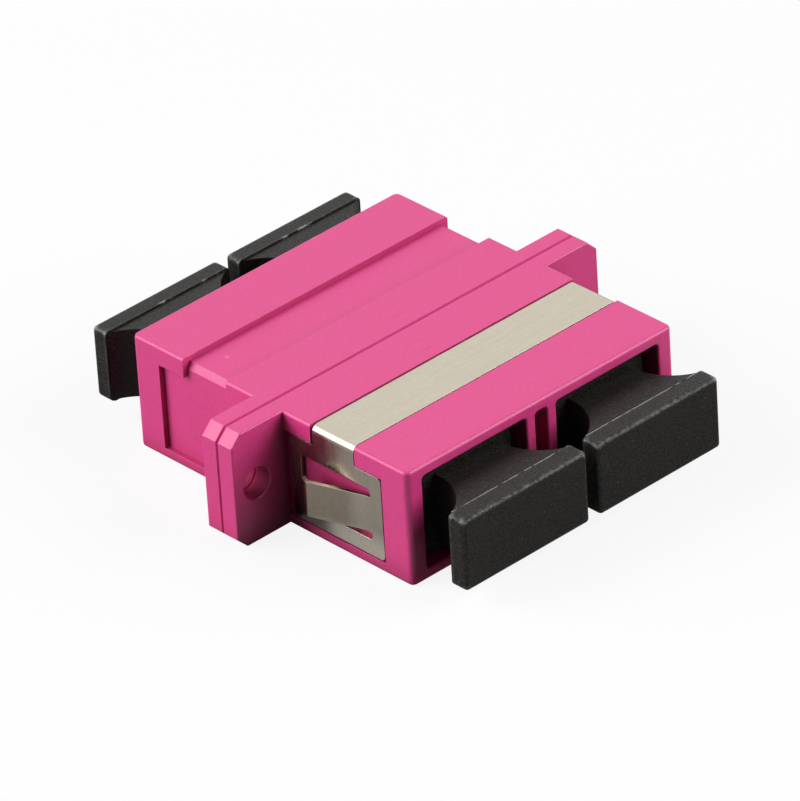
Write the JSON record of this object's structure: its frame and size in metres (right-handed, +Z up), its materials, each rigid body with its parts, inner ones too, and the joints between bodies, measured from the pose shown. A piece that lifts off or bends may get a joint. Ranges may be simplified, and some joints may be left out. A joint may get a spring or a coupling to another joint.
{
  "type": "duplex fibre adapter",
  "caption": "Flanged duplex coupler for square push-pull fibre plugs, with a sprung steel panel clip and pull-off dust caps.",
  "frame": {"origin": "bottom centre of the whole part with its caps in, below the flange's mid-plane", "axes": "+X along the flange from ear to ear, +Y along the plugs' axis away from the clipped half, +Z up out of the face that carries the clip's strip"},
  "size_m": [0.035, 0.037, 0.0091],
  "materials": {
    "housing": "magenta moulded plastic, satin",
    "clip_steel": "bare spring steel strip",
    "holder": "natural moulded plastic",
    "ceramic": "ground white ceramic",
    "cap": "black moulded plastic, fine texture"
  },
  "bodies": {
    "adapter": {"front_housing": "housing", "rear_housing": "housing", "panel_clip": "clip_steel", "front_left_sleeve_holder": "holder", "front_right_sleeve_holder": "holder", "rear_left_sleeve_holder": "holder", "rear_right_sleeve_holder": "holder", "left_split_sleeve": "ceramic", "right_split_sleeve": "ceramic"},
    "front_left_cap": {"front_left_dust_cap": "cap"},
    "front_right_cap": {"front_right_dust_cap": "cap"},
    "rear_left_cap": {"rear_left_dust_cap": "cap"},
    "rear_right_cap": {"rear_right_dust_cap": "cap"}
  },
  "joints": [
    {"name": "front_left_cap_pull", "type": "slide", "parent": "adapter", "child": "front_left_cap", "axis": [0, -1, 0], "range_m": [0, 0.016]},
    {"name": "front_right_cap_pull", "type": "slide", "parent": "adapter", "child": "front_right_cap", "axis": [0, -1, 0], "range_m": [0, 0.016]},
    {"name": "rear_left_cap_pull", "type": "slide", "parent": "adapter", "child": "rear_left_cap", "axis": [0, 1, 0], "range_m": [0, 0.016]},
    {"name": "rear_right_cap_pull", "type": "slide", "parent": "adapter", "child": "rear_right_cap", "axis": [0, 1, 0], "range_m": [0, 0.016]}
  ]
}
